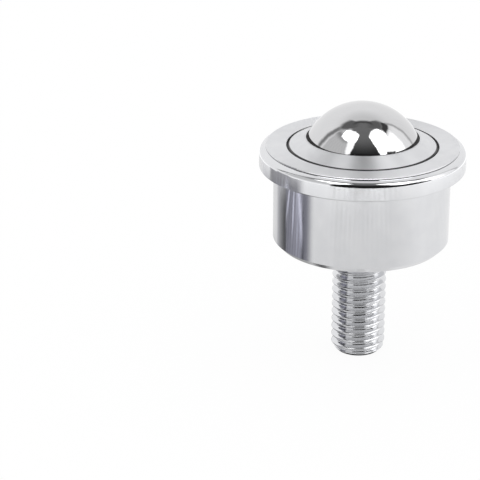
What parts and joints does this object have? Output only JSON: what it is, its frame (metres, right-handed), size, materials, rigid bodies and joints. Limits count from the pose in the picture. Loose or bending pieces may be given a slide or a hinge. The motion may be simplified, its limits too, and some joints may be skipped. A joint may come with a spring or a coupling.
{
  "type": "ball transfer unit",
  "caption": "Flanged ball transfer unit: a steel load ball on a bed of small balls in a turned, plated housing with a threaded stud below.",
  "frame": {"origin": "centre of the base face, where the stud's axis meets the plate that the unit stands on", "axes": "+Z along the stud's axis towards the load ball; X and Y in the base face, with no preferred direction"},
  "size_m": [0.0372, 0.0372, 0.048],
  "materials": {
    "plated_steel": "bright zinc plate over fine turning lines",
    "plated_ring": "bright plate, satin on the cone",
    "felt": "pressed grey felt, oiled",
    "polished_ball": "mirror-polished hardened steel",
    "bearing_steel": "polished hardened steel"
  },
  "bodies": {
    "housing_body": {"housing": "plated_steel", "cap_ring": "plated_ring", "felt_seal": "felt"},
    "bearing_bed": {"bearing_row_1": "bearing_steel", "bearing_row_2": "bearing_steel", "bearing_row_3": "bearing_steel", "bearing_row_4": "bearing_steel", "bearing_row_5": "bearing_steel", "bearing_rows_top": "bearing_steel"},
    "ball": {"load_ball": "polished_ball"}
  },
  "joints": [
    {"name": "bed_orbit", "type": "hinge", "parent": "housing_body", "child": "bearing_bed", "pos_m": [0, 0, 0.01512], "axis": [0, 0, 1], "continuous": true},
    {"name": "ball_roll", "type": "hinge", "parent": "bearing_bed", "child": "ball", "pos_m": [0, 0, 0.01512], "axis": [1, 0, 0], "continuous": true}
  ]
}
